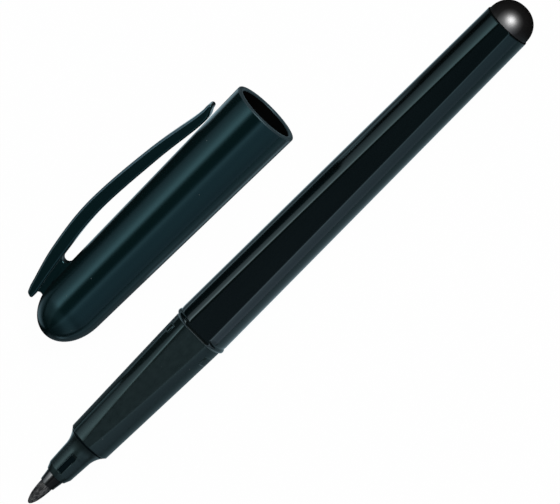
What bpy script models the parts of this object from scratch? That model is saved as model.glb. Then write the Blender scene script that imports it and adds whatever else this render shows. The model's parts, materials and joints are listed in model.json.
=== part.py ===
"""Felt-tip disc marker with its cap taken off and laid beside it.

Metres, +Z up. The pen lies along X with its nib towards -X, and the cap lies parallel to it on
the +Y side with its mouth towards +X. Both lie on the plane z = 0, and the origin is under the
middle of the pair.
"""
import math

import bmesh
import bpy
from mathutils import Matrix, Vector

MM = 0.001

# Lengths along the pen, from the nib backwards
NIB_LENGTH = 4.8 * MM
HOLDER_LENGTH = 2.25 * MM
NOZZLE_LENGTH = 5.9 * MM
SHOULDER_LENGTH = 2.7 * MM
GRIP_LENGTH = 27.4 * MM
BARREL_LENGTH = 78.6 * MM
PLUG_LENGTH = 4.4 * MM

# How full the rounded ends are: 2 is an ellipse, more is squarer
NIB_FULLNESS = 2.1
PLUG_FULLNESS = 2.15
CAP_FULLNESS = 2.15

# Radii that the rest of the pen is built around
NIB_RADIUS = 1.28 * MM
RESERVOIR_RADIUS = 2.85 * MM

# Walls and fits, from the inside outwards
FIT_GAP = 0.1 * MM
SEAT_GAP = 0.3 * MM
FILM_WALL = 0.15 * MM
SPIGOT_WALL = 0.6 * MM
BARREL_WALL = 0.65 * MM
HOLDER_LIP = 0.12 * MM
HOLDER_WALL = 0.45 * MM
NOZZLE_WALL = 0.61 * MM
GRIP_WALL = 0.77 * MM
PLUG_BORE_WALL = 1.6 * MM

# Tapers and steps of the pen's outside
NOZZLE_TAPER = 0.23 * MM
BARREL_TAPER = 0.64 * MM
LIP_HEIGHT = 0.18 * MM
GRIP_STEP = 0.29 * MM

# Three flats along the barrel and the grip, measured below the round
FLATS = 3
BARREL_FLAT_DEPTH = 0.12 * MM
GRIP_FLAT_DEPTH = 0.28 * MM
GRIP_FLAT_STEP = 0.39 * MM

# Small features of the pen
LIP_LENGTH = 1.6 * MM
LIP_ROUND = 0.28 * MM
NOZZLE_CHAMFER_LENGTH = 1.2 * MM
NOZZLE_EDGE = 0.12 * MM
REAR_CHAMFER = 0.18 * MM
PLUG_INSET = 0.26 * MM
VENT_WIDTH = 1.15 * MM
VENT_LENGTH = 3.9 * MM
VENT_DEPTH = 0.3 * MM
NUB_LENGTH = 2.2 * MM
NUB_WIDTH = 0.9 * MM
NUB_HEIGHT = 0.16 * MM
NUB_SETBACK = 1.5 * MM

# Lengths inside the pen
GRIP_SPIGOT_LENGTH = 9.0 * MM
PLUG_SPIGOT_LENGTH = 13.0 * MM
HOLDER_TAIL_LENGTH = 8.0 * MM
CHAMBER_FLOOR = 6.0 * MM
NIB_IN_RESERVOIR = 6.0 * MM
RESERVOIR_IN_PLUG = 4.0 * MM

# Cap
CAP_CLEARANCE = 0.11 * MM
CAP_WALL = 1.06 * MM
CAP_TAPER = 0.94 * MM
CAP_DOME_LENGTH = 5.9 * MM
CAP_END_LENGTH = 8.45 * MM
CAP_RIM_ROUND = 0.3 * MM
CAP_POCKET_RADIUS = 3.0 * MM
CAP_POCKET_WALL = 1.4 * MM
SEAL_CLEARANCE = 0.23 * MM
SEAL_WALL = 0.6 * MM
SEAL_END = 1.0 * MM
SEAL_FLANGE_LENGTH = 3.0 * MM
NIB_CLEARANCE = 2.5 * MM

# Pocket clip: places along the cap, and heights of its inner and outer edge above the cap's side
CLIP_TIP_SETBACK = 5.65 * MM
CLIP_TOE_LENGTH = 3.55 * MM
CLIP_FOOT_SETBACK = 4.8 * MM
CLIP_FOOT_LENGTH = 8.0 * MM
CLIP_TAIL_LENGTH = 1.9 * MM
CLIP_WIDTH = 4.4 * MM
CLIP_STEM_WIDTH = 3.2 * MM
CLIP_BOW_SHARE = 0.7
CLIP_WAIST_SHARE = 0.3
CLIP_TAIL_EDGES = (0.4 * MM, 1.6 * MM)
CLIP_REAR_EDGES = (0.5 * MM, 2.4 * MM)
CLIP_FRONT_EDGES = (1.75 * MM, 4.2 * MM)
CLIP_BOW_EDGES = (2.55 * MM, 5.15 * MM)
CLIP_WAIST_EDGES = (1.45 * MM, 3.85 * MM)
CLIP_TOE_EDGES = (SEAT_GAP, 1.95 * MM)
CLIP_TIP_EDGES = (0.95 * MM, 1.7 * MM)

# Where the cap lies: its gap to the pen, and how far its mouth is behind its place on the pen
CAP_SIDE_GAP = 6.95 * MM
CAP_SETBACK = 35.6 * MM

# Facets around a round piece, and points along a curve
SEGMENTS = 36
NUB_FACETS = 10
DOME_STEPS = 8
SHOULDER_STEPS = 6
CLIP_STEPS = 5
SHARP_ANGLE = math.radians(30)
MERGE = 1e-7

# Places along the pen
HOLDER_FRONT = NIB_LENGTH
NOZZLE_FRONT = HOLDER_FRONT + HOLDER_LENGTH
SHOULDER_FRONT = NOZZLE_FRONT + NOZZLE_LENGTH
GRIP_FRONT = SHOULDER_FRONT + SHOULDER_LENGTH
GRIP_REAR = GRIP_FRONT + GRIP_LENGTH
BARREL_FRONT = GRIP_REAR + FIT_GAP
BARREL_REAR = BARREL_FRONT + BARREL_LENGTH
PLUG_BASE = BARREL_REAR + FIT_GAP

# Radii of the pen, from the ink store outwards
FILM_RADIUS = RESERVOIR_RADIUS + FIT_GAP + FILM_WALL
CHAMBER_RADIUS = FILM_RADIUS + FIT_GAP
SPIGOT_RADIUS = CHAMBER_RADIUS + SPIGOT_WALL
BARREL_BORE = SPIGOT_RADIUS + FIT_GAP
BARREL_FLAT = BARREL_BORE + BARREL_WALL
BARREL_REAR_RADIUS = BARREL_FLAT + BARREL_FLAT_DEPTH
BARREL_FRONT_RADIUS = BARREL_REAR_RADIUS + BARREL_TAPER
LIP_RADIUS = BARREL_FRONT_RADIUS + LIP_HEIGHT
PLUG_RADIUS = BARREL_REAR_RADIUS - PLUG_INSET
GRIP_REAR_RADIUS = LIP_RADIUS - GRIP_STEP
GRIP_REAR_FLAT = BARREL_FLAT - GRIP_FLAT_STEP
GRIP_FRONT_FLAT = CHAMBER_RADIUS + GRIP_WALL
SHOULDER_RADIUS = GRIP_FRONT_FLAT + GRIP_FLAT_DEPTH

# Radii of the pen, from the nib outwards
HOLDER_BORE = NIB_RADIUS + FIT_GAP
HOLDER_FRONT_RADIUS = HOLDER_BORE + HOLDER_LIP
HOLDER_RADIUS = HOLDER_BORE + HOLDER_WALL
NOZZLE_BORE = HOLDER_RADIUS + FIT_GAP
NOZZLE_FRONT_RADIUS = NOZZLE_BORE + NOZZLE_WALL
NOZZLE_REAR_RADIUS = NOZZLE_FRONT_RADIUS + NOZZLE_TAPER

# Places inside the pen
CHAMBER_FRONT = GRIP_FRONT + CHAMBER_FLOOR
RESERVOIR_FRONT = CHAMBER_FRONT + SEAT_GAP
NIB_REAR = RESERVOIR_FRONT + NIB_IN_RESERVOIR
RESERVOIR_REAR = PLUG_BASE - PLUG_SPIGOT_LENGTH + RESERVOIR_IN_PLUG

# Cap sizes that follow from what it closes over
CAP_SEAT = BARREL_FRONT + LIP_LENGTH
CAP_BORE = LIP_RADIUS + CAP_CLEARANCE
CAP_MOUTH_RADIUS = CAP_BORE + CAP_WALL
CAP_END_RADIUS = CAP_MOUTH_RADIUS - CAP_TAPER
SEAL_MOUTH = CAP_SEAT - SHOULDER_FRONT
SEAL_FLOOR = CAP_SEAT + NIB_CLEARANCE
SEAL_BACK = SEAL_FLOOR + SEAL_END
CAP_FLOOR = SEAL_BACK + SEAT_GAP
CAP_LENGTH = SEAL_BACK + CAP_END_LENGTH
CAP_DOME_START = CAP_LENGTH - CAP_DOME_LENGTH
CAP_POCKET_END = CAP_LENGTH - CAP_POCKET_WALL
SEAL_BORE = NOZZLE_REAR_RADIUS + SEAL_CLEARANCE
SEAL_RADIUS = SEAL_BORE + SEAL_WALL

# Clip places along the cap, from its mouth
CLIP_TIP = CLIP_TIP_SETBACK
CLIP_TOE = CLIP_TIP + CLIP_TOE_LENGTH
CLIP_FOOT_REAR = CAP_LENGTH - CLIP_FOOT_SETBACK
CLIP_FOOT_FRONT = CLIP_FOOT_REAR - CLIP_FOOT_LENGTH
CLIP_TAIL = CLIP_FOOT_REAR + CLIP_TAIL_LENGTH


def cap_radius(place):
    """Outer radius of the cap's tapering side at a distance from its mouth."""
    share = place / CAP_DOME_START
    return CAP_MOUTH_RADIUS + (CAP_END_RADIUS - CAP_MOUTH_RADIUS) * share


def cap_bore(place):
    """Radius of the cap's inside at a distance from its mouth."""
    return cap_radius(place) - CAP_WALL


def material(name, colour, roughness):
    """A plain moulded finish."""
    finish = bpy.data.materials.new(name)
    finish.use_nodes = True
    shader = finish.node_tree.nodes["Principled BSDF"]
    shader.inputs["Base Color"].default_value = (*colour, 1.0)
    shader.inputs["Roughness"].default_value = roughness
    shader.inputs["Metallic"].default_value = 0.0
    return finish


def place_mesh(name, shape, finish, parent, location=(0.0, 0.0, 0.0)):
    """Turn a bmesh into a named object under its parent."""
    mesh = bpy.data.meshes.new(name)
    bmesh.ops.recalc_face_normals(shape, faces=shape.faces)
    shape.to_mesh(mesh)
    shape.free()
    mesh.shade_smooth()
    mesh.set_sharp_from_angle(angle=SHARP_ANGLE)
    piece = bpy.data.objects.new(name, mesh)
    bpy.context.scene.collection.objects.link(piece)
    piece.parent = parent
    piece.location = location
    if finish:
        mesh.materials.append(finish)
    return piece


def turned(name, profile, finish, parent, ring=True):
    """Spin a profile of (place, radius) points around the X axis; a ring profile closes on itself."""
    shape = bmesh.new()
    points = [shape.verts.new((place, 0.0, radius)) for place, radius in profile]
    pairs = list(zip(points, points[1:]))
    if ring:
        pairs.append((points[-1], points[0]))
    lines = [shape.edges.new(pair) for pair in pairs]
    bmesh.ops.spin(shape, geom=points + lines, axis=(1, 0, 0), cent=(0, 0, 0),
                   angle=2 * math.pi, steps=SEGMENTS, use_merge=True)
    bmesh.ops.remove_doubles(shape, verts=shape.verts, dist=MERGE)
    return place_mesh(name, shape, finish, parent)


def tool(name, shape, parent):
    """A hidden shape that cuts or adds to a piece."""
    cutter = place_mesh(name, shape, None, parent)
    cutter.hide_render = True
    cutter.display_type = 'WIRE'
    return cutter


def combine(piece, other, operation):
    """Cut a tool out of a piece, or join it on."""
    step = piece.modifiers.new(other.name, 'BOOLEAN')
    step.object = other
    step.operation = operation
    step.solver = 'EXACT'


def dome(start, radius, length, fullness):
    """Points of a rounded end from its rim to its apex on the axis, without the rim itself."""
    points = []
    for step in range(1, DOME_STEPS + 1):
        turn = math.pi / 2 * step / DOME_STEPS
        along = length * math.sin(turn) ** (2 / fullness)
        across = radius * max(math.cos(turn), 0.0) ** (2 / fullness)
        points.append((start + along, across if step < DOME_STEPS else 0.0))
    return points


def around_x(index, offset=0.0):
    """Turn to one of the three flats, counted around the pen's axis from the top."""
    return Matrix.Rotation(2 * math.pi * index / FLATS + offset, 4, 'X')


def flat_tool(name, parent, front, rear, front_height, rear_height):
    """Three slabs whose inner faces run from one height above the axis to another, past both ends."""
    slope = math.atan2(rear_height - front_height, rear - front)
    size = Vector((rear - front + 2 * LIP_LENGTH, 4 * LIP_RADIUS, 2 * LIP_RADIUS))
    middle = Vector(((front + rear) / 2, 0.0, (front_height + rear_height) / 2))
    lean = Matrix.Translation(middle) @ Matrix.Rotation(-slope, 4, 'Y')
    block = Matrix.Translation((0.0, 0.0, size.z / 2)) @ Matrix.Diagonal(size).to_4x4()
    shape = bmesh.new()
    for index in range(FLATS):
        bmesh.ops.create_cube(shape, size=1.0, matrix=around_x(index) @ lean @ block)
    return tool(name, shape, parent)


def make_barrel(pen, finish):
    lip_rear = BARREL_FRONT + LIP_LENGTH
    profile = [
        (BARREL_FRONT, BARREL_BORE),
        (BARREL_FRONT, LIP_RADIUS - LIP_ROUND),
        (BARREL_FRONT + LIP_ROUND, LIP_RADIUS),
        (lip_rear - 2 * LIP_ROUND, LIP_RADIUS),
        (lip_rear, BARREL_FRONT_RADIUS),
        (BARREL_REAR - REAR_CHAMFER, BARREL_REAR_RADIUS),
        (BARREL_REAR, BARREL_REAR_RADIUS - REAR_CHAMFER),
        (BARREL_REAR, BARREL_BORE),
    ]
    barrel = turned("barrel", profile, finish, pen)
    flats = flat_tool("barrel_flats", pen, BARREL_FRONT, BARREL_REAR, BARREL_FLAT, BARREL_FLAT)
    combine(barrel, flats, 'DIFFERENCE')


def shoulder_curve():
    """Concave arc from the nozzle, tangent to it, out to the grip's front edge."""
    rise = SHOULDER_RADIUS - NOZZLE_REAR_RADIUS
    arc = (SHOULDER_LENGTH ** 2 + rise ** 2) / (2 * rise)
    points = []
    for step in range(SHOULDER_STEPS + 1):
        along = SHOULDER_LENGTH * step / SHOULDER_STEPS
        points.append((SHOULDER_FRONT + along, NOZZLE_REAR_RADIUS + arc - math.sqrt(arc ** 2 - along ** 2)))
    return points


def make_grip_section(pen, finish):
    spigot_rear = GRIP_REAR + GRIP_SPIGOT_LENGTH
    profile = [
        (CHAMBER_FRONT, NOZZLE_BORE),
        (NOZZLE_FRONT, NOZZLE_BORE),
        (NOZZLE_FRONT, NOZZLE_BORE + NOZZLE_EDGE),
        (NOZZLE_FRONT + NOZZLE_CHAMFER_LENGTH, NOZZLE_FRONT_RADIUS),
        *shoulder_curve(),
        (GRIP_REAR, GRIP_REAR_RADIUS),
        (GRIP_REAR, SPIGOT_RADIUS),
        (spigot_rear, SPIGOT_RADIUS),
        (spigot_rear, CHAMBER_RADIUS),
        (CHAMBER_FRONT, CHAMBER_RADIUS),
    ]
    grip = turned("grip_section", profile, finish, pen)
    flats = flat_tool("grip_flats", pen, GRIP_FRONT, GRIP_REAR, GRIP_FRONT_FLAT, GRIP_REAR_FLAT)
    combine(grip, flats, 'DIFFERENCE')
    combine(grip, vent_tool(pen), 'DIFFERENCE')
    combine(grip, nub_tool(pen), 'UNION')


def vent_tool(pen):
    """A shallow recess along the nozzle under each flat."""
    front = NOZZLE_FRONT + NOZZLE_CHAMFER_LENGTH
    floor = NOZZLE_FRONT_RADIUS - VENT_DEPTH
    size = Vector((VENT_LENGTH, VENT_WIDTH, NOZZLE_REAR_RADIUS))
    middle = Matrix.Translation((front + VENT_LENGTH / 2, 0.0, floor + size.z / 2))
    block = middle @ Matrix.Diagonal(size).to_4x4()
    shape = bmesh.new()
    for index in range(FLATS):
        bmesh.ops.create_cube(shape, size=1.0, matrix=around_x(index) @ block)
    return tool("nozzle_vents", shape, pen)


def nub_tool(pen):
    """A low rounded nub on each corner between two flats, just ahead of the barrel."""
    rear = GRIP_REAR - NUB_SETBACK
    place = rear - NUB_LENGTH / 2
    share = (place - GRIP_FRONT) / GRIP_LENGTH
    radius = SHOULDER_RADIUS + (GRIP_REAR_RADIUS - SHOULDER_RADIUS) * share
    size = Matrix.Diagonal((NUB_LENGTH / 2, NUB_WIDTH / 2, 2 * NUB_HEIGHT)).to_4x4()
    nub = Matrix.Translation((place, 0.0, radius - NUB_HEIGHT)) @ size
    shape = bmesh.new()
    for index in range(FLATS):
        corner = around_x(index, math.pi / FLATS)
        bmesh.ops.create_uvsphere(shape, u_segments=NUB_FACETS, v_segments=NUB_FACETS, radius=1.0,
                                  matrix=corner @ nub)
    return tool("grip_nubs", shape, pen)


def make_nib_holder(pen, finish):
    tail = NOZZLE_FRONT + HOLDER_TAIL_LENGTH
    profile = [
        (HOLDER_FRONT + SEAT_GAP, HOLDER_BORE),
        (HOLDER_FRONT, HOLDER_FRONT_RADIUS),
        (NOZZLE_FRONT, HOLDER_RADIUS),
        (tail, HOLDER_RADIUS),
        (tail, HOLDER_BORE),
    ]
    turned("nib_holder", profile, finish, pen)


def make_nib(pen, finish):
    point = dome(0.0, NIB_RADIUS, NIB_LENGTH, NIB_FULLNESS)
    profile = [(NIB_LENGTH - along, across) for along, across in reversed(point)]
    profile += [(NIB_LENGTH, NIB_RADIUS), (NIB_REAR, NIB_RADIUS), (NIB_REAR, 0.0)]
    turned("nib", profile, finish, pen, ring=False)


def make_ink_reservoir(pen, finish):
    socket = NIB_RADIUS + FIT_GAP
    socket_end = NIB_REAR + SEAT_GAP
    profile = [
        (socket_end, 0.0),
        (socket_end, socket),
        (RESERVOIR_FRONT, socket),
        (RESERVOIR_FRONT, RESERVOIR_RADIUS),
        (RESERVOIR_REAR, RESERVOIR_RADIUS),
        (RESERVOIR_REAR, 0.0),
    ]
    turned("ink_reservoir", profile, finish, pen, ring=False)


def make_reservoir_film(pen, finish):
    inside = RESERVOIR_RADIUS + FIT_GAP
    profile = [
        (RESERVOIR_FRONT, inside),
        (RESERVOIR_FRONT, FILM_RADIUS),
        (RESERVOIR_REAR, FILM_RADIUS),
        (RESERVOIR_REAR, inside),
    ]
    turned("reservoir_film", profile, finish, pen)


def make_rear_plug(pen, finish):
    spigot_front = PLUG_BASE - PLUG_SPIGOT_LENGTH
    stop = RESERVOIR_REAR + SEAT_GAP
    profile = [
        (PLUG_BASE, 0.0),
        (PLUG_BASE, SPIGOT_RADIUS - PLUG_BORE_WALL),
        (stop, SPIGOT_RADIUS - PLUG_BORE_WALL),
        (stop, CHAMBER_RADIUS),
        (spigot_front, CHAMBER_RADIUS),
        (spigot_front, SPIGOT_RADIUS),
        (PLUG_BASE, SPIGOT_RADIUS),
        (PLUG_BASE, PLUG_RADIUS),
        *dome(PLUG_BASE, PLUG_RADIUS, PLUG_LENGTH, PLUG_FULLNESS),
    ]
    turned("rear_plug", profile, finish, pen, ring=False)


def make_cap_shell(cap, finish):
    """The cap's places run backwards along X, from its mouth at the parent's origin."""
    rim = CAP_RIM_ROUND
    outside = [
        (0.0, CAP_BORE + rim),
        (0.0, CAP_MOUTH_RADIUS - rim),
        (rim, cap_radius(rim)),
        (CAP_DOME_START, CAP_END_RADIUS),
        *dome(CAP_DOME_START, CAP_END_RADIUS, CAP_DOME_LENGTH, CAP_FULLNESS),
    ]
    inside = [
        (CAP_POCKET_END, 0.0),
        (CAP_POCKET_END, CAP_POCKET_RADIUS / 2),
        (CAP_DOME_START, CAP_POCKET_RADIUS),
        (CAP_FLOOR, CAP_POCKET_RADIUS),
        (CAP_FLOOR, cap_bore(CAP_FLOOR)),
        (rim, cap_bore(rim)),
    ]
    profile = [*reversed(outside), *reversed(inside)]
    turned("cap_shell", [(-place, radius) for place, radius in profile], finish, cap, ring=False)


def make_inner_seal(cap, finish):
    """A thimble that closes over the nozzle, held in the cap's bore by its flange."""
    flange_front = SEAL_BACK - SEAL_FLANGE_LENGTH
    profile = [
        (SEAL_FLOOR, 0.0),
        (SEAL_FLOOR, SEAL_BORE),
        (SEAL_MOUTH, SEAL_BORE),
        (SEAL_MOUTH, SEAL_RADIUS),
        (flange_front, SEAL_RADIUS),
        (flange_front, cap_bore(flange_front) - FIT_GAP),
        (SEAL_BACK, cap_bore(SEAL_BACK) - FIT_GAP),
        (SEAL_BACK, 0.0),
    ]
    turned("inner_seal", [(-place, radius) for place, radius in profile], finish, cap, ring=False)


def smooth_line(points):
    """A smooth line through a few points, as a Catmull-Rom curve."""
    spots = [Vector(point) for point in points]
    spots = [2 * spots[0] - spots[1], *spots, 2 * spots[-1] - spots[-2]]
    line = []
    for before, start, end, after in zip(spots, spots[1:], spots[2:], spots[3:]):
        for step in range(CLIP_STEPS):
            t = step / CLIP_STEPS
            curve = 2 * start + (end - before) * t
            curve += (2 * before - 5 * start + 4 * end - after) * t ** 2
            curve += (3 * start - before - 3 * end + after) * t ** 3
            line.append(curve / 2)
    line.append(spots[-2])
    return line


def above_cap(place, height):
    """A point of the clip's side view: its place along the cap and its distance from the cap's axis."""
    return (place, cap_radius(place) + height)


def clip_outline():
    """Side view of the clip's strip, from its tail along the outer edge to the tip and back."""
    span = CLIP_FOOT_FRONT - CLIP_TOE
    stations = [
        (CLIP_TAIL, CLIP_TAIL_EDGES),
        (CLIP_FOOT_REAR, CLIP_REAR_EDGES),
        (CLIP_FOOT_FRONT, CLIP_FRONT_EDGES),
        (CLIP_TOE + CLIP_BOW_SHARE * span, CLIP_BOW_EDGES),
        (CLIP_TOE + CLIP_WAIST_SHARE * span, CLIP_WAIST_EDGES),
        (CLIP_TOE, CLIP_TOE_EDGES),
        (CLIP_TIP, CLIP_TIP_EDGES),
    ]
    inner = smooth_line([above_cap(place, edges[0]) for place, edges in stations])
    outer = smooth_line([above_cap(place, edges[1]) for place, edges in stations])
    return outer + inner[::-1]


def slab(shape, outline, width):
    """Extrude a side view, given as places and distances from the cap's axis, to a width along Z."""
    corners = [shape.verts.new((-place, height, -width / 2)) for place, height in outline]
    face = shape.faces.new(corners)
    sides = bmesh.ops.extrude_face_region(shape, geom=[face])
    top = [part for part in sides["geom"] if isinstance(part, bmesh.types.BMVert)]
    bmesh.ops.translate(shape, verts=top, vec=(0.0, 0.0, width))


def make_pocket_clip(cap, finish):
    """A bowed strip on a stem; its origin is on the line at the stem's rear foot where it flexes."""
    hinge = Vector((-CLIP_FOOT_REAR, cap_radius(CLIP_FOOT_REAR) + SEAT_GAP, 0.0))
    strip = bmesh.new()
    slab(strip, clip_outline(), CLIP_WIDTH)
    bmesh.ops.translate(strip, verts=strip.verts, vec=-hinge)
    clip = place_mesh("pocket_clip", strip, finish, cap, hinge)
    stem = bmesh.new()
    slab(stem, [
        above_cap(CLIP_FOOT_FRONT, SEAT_GAP),
        above_cap(CLIP_FOOT_REAR, SEAT_GAP),
        above_cap(CLIP_FOOT_REAR, sum(CLIP_REAR_EDGES) / 2),
        above_cap(CLIP_FOOT_FRONT, sum(CLIP_FRONT_EDGES) / 2),
    ], CLIP_STEM_WIDTH)
    combine(clip, tool("clip_stem", stem, cap), 'UNION')


def lay_down(parent, lean):
    """Lean a group about Y so that its tapering side lies on the plane z = 0, and set it down there."""
    parent.rotation_euler.y = lean
    low, _ = group_box([parent])
    parent.location.z -= low.z


def group_box(parents):
    """Lowest and highest corners of the finished pieces under some parents."""
    bpy.context.view_layer.update()
    scene = bpy.context.evaluated_depsgraph_get()
    spots = []
    for piece in bpy.data.objects:
        if piece.type == 'MESH' and piece.parent in parents and not piece.hide_render:
            finished = piece.evaluated_get(scene)
            spots += [piece.matrix_world @ vertex.co for vertex in finished.data.vertices]
    low = Vector([min(spot[axis] for spot in spots) for axis in range(3)])
    high = Vector([max(spot[axis] for spot in spots) for axis in range(3)])
    return low, high


def make_parent(name, location):
    """An empty on the axis of a group of pieces."""
    empty = bpy.data.objects.new(name, None)
    bpy.context.scene.collection.objects.link(empty)
    empty.location = location
    return empty


def main():
    for old in list(bpy.data.objects):
        bpy.data.objects.remove(old, do_unlink=True)

    gloss_black = material("gloss_black_plastic", (0.012, 0.018, 0.020), 0.28)
    matte_black = material("matte_black_plastic", (0.016, 0.024, 0.025), 0.55)
    deep_teal = material("deep_teal_plastic", (0.008, 0.022, 0.028), 0.25)
    polished_black = material("polished_black_plastic", (0.008, 0.008, 0.008), 0.10)
    holder_black = material("satin_black_plastic", (0.012, 0.012, 0.012), 0.35)
    felt = material("inked_fibre", (0.045, 0.046, 0.048), 0.95)
    core = material("soaked_fibre_core", (0.010, 0.010, 0.012), 0.90)
    film = material("clear_film", (0.60, 0.62, 0.62), 0.20)
    soft_grey = material("soft_seal", (0.30, 0.31, 0.31), 0.60)

    pen = make_parent("pen_axis", (0.0, 0.0, 0.0))
    beside = LIP_RADIUS + CAP_SIDE_GAP + CAP_MOUTH_RADIUS
    cap = make_parent("cap_axis", (CAP_SEAT + CAP_SETBACK, beside, 0.0))

    make_barrel(pen, gloss_black)
    make_grip_section(pen, matte_black)
    make_nib_holder(pen, holder_black)
    make_nib(pen, felt)
    make_ink_reservoir(pen, core)
    make_reservoir_film(pen, film)
    make_rear_plug(pen, polished_black)
    make_cap_shell(cap, deep_teal)
    make_inner_seal(cap, soft_grey)
    make_pocket_clip(cap, deep_teal)

    pen_rest = BARREL_REAR - REAR_CHAMFER - BARREL_FRONT - LIP_LENGTH + 2 * LIP_ROUND
    lay_down(pen, math.atan2(LIP_RADIUS - BARREL_REAR_RADIUS, pen_rest))
    lay_down(cap, -math.atan2(CAP_MOUTH_RADIUS - CAP_END_RADIUS, CAP_DOME_START))
    low, high = group_box([pen, cap])
    middle = (low + high) / 2
    for parent in (pen, cap):
        parent.location.x -= middle.x
        parent.location.y -= middle.y


main()
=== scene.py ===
"""Looks of a felt-tip disc marker and its cap: fine moulded shapes, finishes, studio light and camera.

The pen's own frame has X along its axis from the nib's tip, and Z up through its label flat. The
cap's own frame has its origin in the middle of the mouth, its closed end towards -X and its clip
towards +Y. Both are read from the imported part, and every mesh is placed in the part's frame.
"""
import json
import math

import bmesh
import bpy
from mathutils import Matrix, Vector, noise


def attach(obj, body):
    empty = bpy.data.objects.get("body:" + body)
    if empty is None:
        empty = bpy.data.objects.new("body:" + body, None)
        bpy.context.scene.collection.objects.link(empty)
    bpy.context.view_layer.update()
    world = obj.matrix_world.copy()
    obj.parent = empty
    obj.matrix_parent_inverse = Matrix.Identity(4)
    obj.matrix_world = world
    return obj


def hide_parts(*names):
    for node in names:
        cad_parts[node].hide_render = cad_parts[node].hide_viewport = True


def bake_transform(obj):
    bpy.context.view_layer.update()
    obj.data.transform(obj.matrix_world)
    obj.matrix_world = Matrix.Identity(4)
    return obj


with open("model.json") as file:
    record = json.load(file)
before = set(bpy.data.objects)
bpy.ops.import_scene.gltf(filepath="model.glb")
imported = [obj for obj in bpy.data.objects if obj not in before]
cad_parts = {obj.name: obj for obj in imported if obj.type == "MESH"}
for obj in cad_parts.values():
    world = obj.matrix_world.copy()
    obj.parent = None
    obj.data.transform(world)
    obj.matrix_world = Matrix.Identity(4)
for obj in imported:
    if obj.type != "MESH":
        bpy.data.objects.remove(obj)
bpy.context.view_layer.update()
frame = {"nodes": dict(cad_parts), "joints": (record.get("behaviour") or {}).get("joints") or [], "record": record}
RECORD = frame["record"]

MM = 0.001
MERGE = 1e-7
SHARP_ANGLE = math.radians(34)

# Steps around a half sector of the pen's rounded triangle: its flat, the flat's rounded edge, its arc
FLATS = 3
FLAT_STEPS = 5
EDGE_STEPS = 5
ARC_STEPS = 16
HALF_SECTOR = FLAT_STEPS + EDGE_STEPS + ARC_STEPS
AROUND = 2 * FLATS * HALF_SECTOR
FLAT_SUPPORT = 0.94
FILLET_STEPS = 4
DOME_STEPS = 28
SIDE_STATIONS = 30
END_SUPPORT = 0.4 * MM


def named(rows, name):
    """The row of a list in the record that has a name."""
    return next(row for row in rows if row["name"] == name)


def lean_of(up):
    """Turn about Y that brings Z to a group's own up direction."""
    return Matrix.Rotation(math.atan2(up[0], up[2]), 4, 'Y')


def spots(node, group):
    """A node's points in its group's own frame."""
    back = group.inverted()
    return [back @ vertex.co for vertex in frame["nodes"][node].data.vertices]


def axis_frame(lean, node, end):
    """A group's own frame, with its origin on the axis of a round node, at one end of it."""
    points = spots(node, lean)
    low = Vector([min(point[axis] for point in points) for axis in range(3)])
    high = Vector([max(point[axis] for point in points) for axis in range(3)])
    middle = (low + high) / 2
    return lean @ Matrix.Translation((end(low.x, high.x), middle.y, middle.z))


def reach(node, group):
    """A node's first and last place along its group's axis, and its largest radius."""
    points = spots(node, group)
    places = [point.x for point in points]
    return min(places), max(places), max(math.hypot(point.y, point.z) for point in points)


CLIP_HINGE = named(frame["joints"], "clip_flex")
LABEL_FLAT = named(RECORD["mounts"], "label_flat")
PEN = axis_frame(lean_of(LABEL_FLAT["axis"]), "nib", min)
CAP = axis_frame(lean_of(CLIP_HINGE["axis"]), "cap_shell", max)

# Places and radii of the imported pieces, along the pen and along the cap
_, NIB_REAR, NIB_RADIUS = reach("nib", PEN)
HOLDER_FRONT, HOLDER_REAR, HOLDER_RADIUS = reach("nib_holder", PEN)
NOZZLE_FRONT, SPIGOT_REAR, _ = reach("grip_section", PEN)
BARREL_FRONT, BARREL_REAR, LIP_RADIUS = reach("barrel", PEN)
PLUG_FRONT, PLUG_REAR, PLUG_RADIUS = reach("rear_plug", PEN)
CAP_LENGTH = -reach("cap_shell", CAP)[0]
BARREL_FLAT = (PEN.inverted() @ Vector(LABEL_FLAT["pos_m"])).z

# Sizes along the pen
NOZZLE_LENGTH = 5.1 * MM
SHOULDER_LENGTH = 3.5 * MM
SEAM = 0.1 * MM
LIP_SETBACK = 0.4 * MM
PLUG_LENGTH = 4.4 * MM
NOZZLE_CHAMFER = 1.2 * MM
CHAMBER_DEPTH = 6.0 * MM
SHOULDER_FRONT = NOZZLE_FRONT + NOZZLE_LENGTH
GRIP_FRONT = SHOULDER_FRONT + SHOULDER_LENGTH
LIP_FRONT = BARREL_FRONT + LIP_SETBACK
GRIP_REAR = LIP_FRONT - SEAM
PLUG_BASE = PLUG_REAR - PLUG_LENGTH
CHAMBER_FRONT = GRIP_FRONT + CHAMBER_DEPTH

# Radii of the pen
HOLDER_BORE = NIB_RADIUS + SEAM
HOLDER_LIP = 0.12 * MM
NOZZLE_BORE = HOLDER_RADIUS + SEAM
NOZZLE_EDGE = 0.12 * MM
NOZZLE_FRONT_RADIUS = 2.54 * MM
NOZZLE_REAR_RADIUS = 2.77 * MM
SHOULDER_RADIUS = 4.18 * MM
GRIP_REAR_RADIUS = 5.09 * MM
GRIP_FRONT_FLAT = 4.12 * MM
GRIP_REAR_FLAT = 4.26 * MM
SPIGOT_RADIUS = 3.8 * MM
CHAMBER_RADIUS = 3.2 * MM
BARREL_BORE = 3.9 * MM
BARREL_FRONT_RADIUS = 5.25 * MM
BARREL_REAR_RADIUS = 4.6 * MM
FLAT_FRONT_SINK = 0.02 * MM
FLAT_REAR_SINK = 0.14 * MM
PLUG_BORE = 2.2 * MM
PLUG_STOP = 8.7 * MM

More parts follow.
